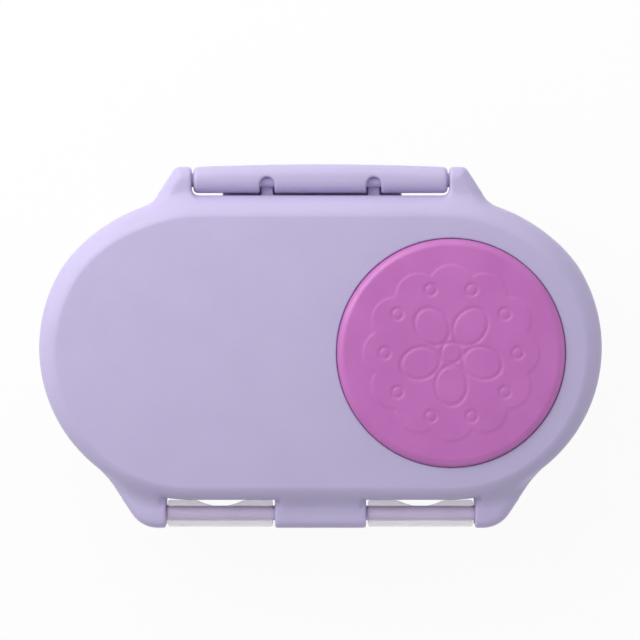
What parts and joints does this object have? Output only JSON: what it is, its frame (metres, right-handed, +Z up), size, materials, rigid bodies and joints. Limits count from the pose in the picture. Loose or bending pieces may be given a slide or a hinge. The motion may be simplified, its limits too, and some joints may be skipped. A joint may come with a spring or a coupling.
{
  "type": "snack container",
  "caption": "Oblong child's snack box with rounded ends, a hinged lid held by clip-on latches, and a round silicone bubble in the lid over a fruit well.",
  "frame": {"origin": "on the table under the middle of the box's length and depth, with the hinge barrel and the front tabs counted", "axes": "+X along the box towards the fruit well and the bubble, +Y from the latches to the hinge, +Z up from the table"},
  "size_m": [0.2, 0.1294, 0.0465],
  "materials": {
    "tray_plastic": "satin moulded polypropylene, lavender",
    "lid_plastic": "satin moulded polypropylene, lavender",
    "divider_plastic": "satin moulded polypropylene, magenta",
    "clear_plastic": "clear moulded copolyester",
    "silicone": "soft matt silicone, magenta"
  },
  "bodies": {
    "base": {"base_tray": "tray_plastic", "hinge_barrel": "tray_plastic", "catch_ledge": "tray_plastic", "divider": "divider_plastic"},
    "lid": {"lid_shell": "lid_plastic", "hinge_rod": "lid_plastic", "latch_rod_left": "lid_plastic", "latch_rod_right": "lid_plastic", "seal_liner": "silicone", "bubble_wall": "silicone"},
    "latch_left": {"latch_left": "clear_plastic"},
    "latch_right": {"latch_right": "clear_plastic"},
    "bubble": {"bubble_crown": "silicone"}
  },
  "joints": [
    {"name": "lid_hinge", "type": "hinge", "parent": "base", "child": "lid", "pos_m": [0, 0.0591, 0.0342], "axis": [-1, 0, 0], "range_deg": [0, 95]},
    {"name": "latch_left_hinge", "type": "hinge", "parent": "lid", "child": "latch_left", "pos_m": [-0.0356, -0.0596, 0.0342], "axis": [-1, 0, 0], "range_deg": [0, 110]},
    {"name": "latch_right_hinge", "type": "hinge", "parent": "lid", "child": "latch_right", "pos_m": [0.0356, -0.0596, 0.0342], "axis": [-1, 0, 0], "range_deg": [0, 110]},
    {"name": "bubble_pop", "type": "slide", "parent": "lid", "child": "bubble", "axis": [0, 0, 1], "range_m": [0, 0.014], "deforming": ["bubble_wall"]}
  ]
}
